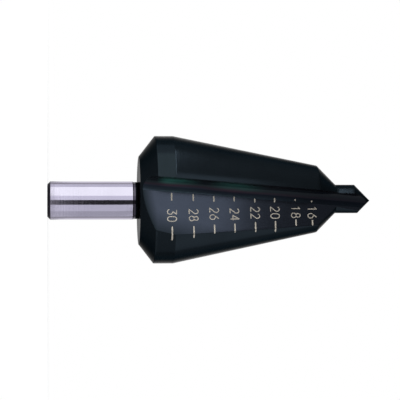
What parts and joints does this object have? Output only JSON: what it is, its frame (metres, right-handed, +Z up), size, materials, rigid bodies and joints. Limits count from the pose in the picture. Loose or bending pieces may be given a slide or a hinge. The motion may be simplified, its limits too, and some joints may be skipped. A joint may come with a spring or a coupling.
{
  "type": "sheet metal cone drill",
  "caption": "Conical drill for enlarging holes in sheet metal: tapered black head with a straight chip flute, short pilot point and bright round shank.",
  "frame": {"origin": "on the tool's axis, at the flat end of the shank that it stands on", "axes": "+Z up the tool's axis, from the shank's end to the point; -Y out of the chip flute; -X from the flute's middle towards the cutting edge"},
  "size_m": [0.0299, 0.0292, 0.076],
  "materials": {
    "tool_steel": "satin black coated head with ground flute, bright ground shank"
  },
  "bodies": {
    "root": {"cone_drill": "tool_steel"}
  },
  "joints": []
}
